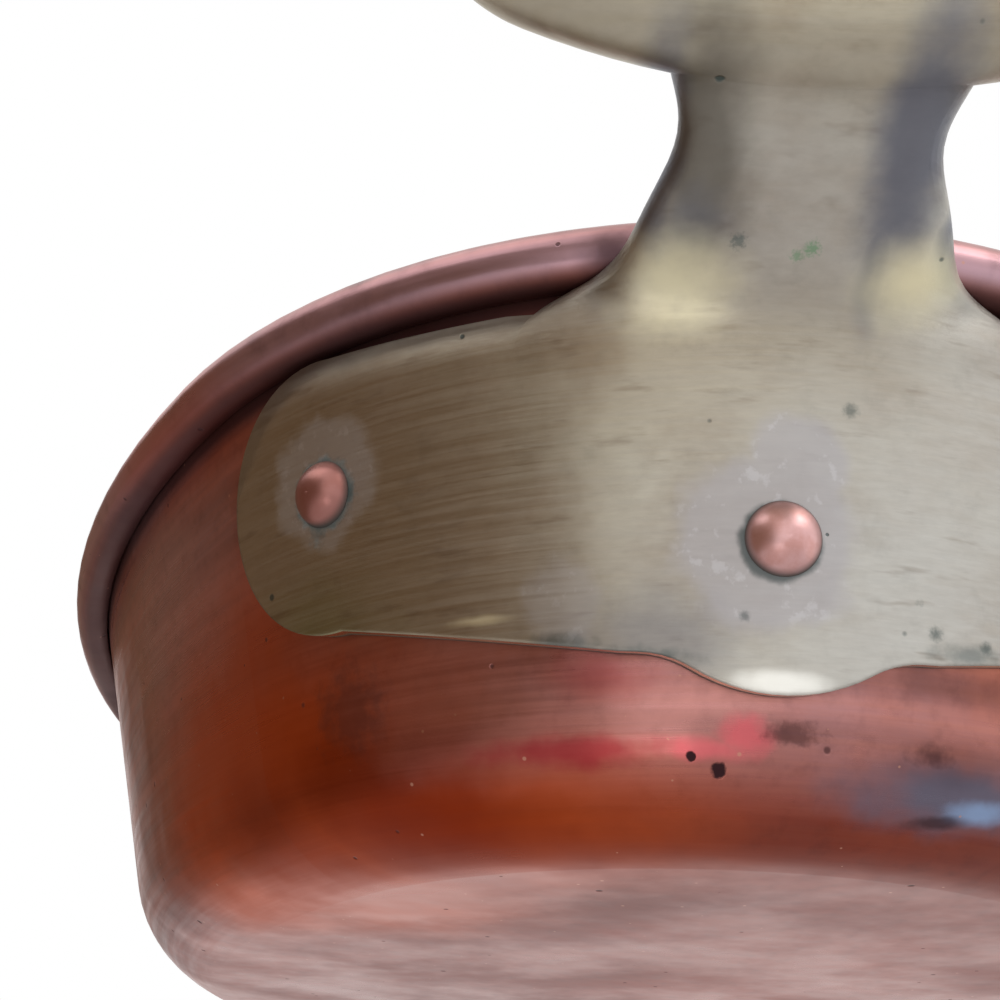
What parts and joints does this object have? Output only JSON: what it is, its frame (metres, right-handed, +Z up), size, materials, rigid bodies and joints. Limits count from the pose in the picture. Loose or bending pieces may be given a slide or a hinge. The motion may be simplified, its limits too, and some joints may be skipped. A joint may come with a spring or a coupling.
{
  "type": "gratin dish",
  "caption": "Oval copper gratin dish with a tin-lined inside, a rolled rim over wire and a cast brass ear handle riveted to each end.",
  "frame": {"origin": "centre of the base, on the surface the dish rests on", "axes": "+X along the line through both handles, +Z up out of the open dish"},
  "size_m": [0.4064, 0.2124, 0.0759],
  "materials": {
    "copper": "polished copper, worn",
    "tin": "wiped tin, satin",
    "wire": "drawn steel wire",
    "brass": "cast brass, tarnished and polished"
  },
  "bodies": {
    "root": {"dish_shell": "copper", "tin_lining": "tin", "rim_wire": "wire", "right_handle": "brass", "left_handle": "brass", "right_front_rivet": "copper", "right_middle_rivet": "copper", "right_back_rivet": "copper", "left_front_rivet": "copper", "left_middle_rivet": "copper", "left_back_rivet": "copper"}
  },
  "joints": []
}
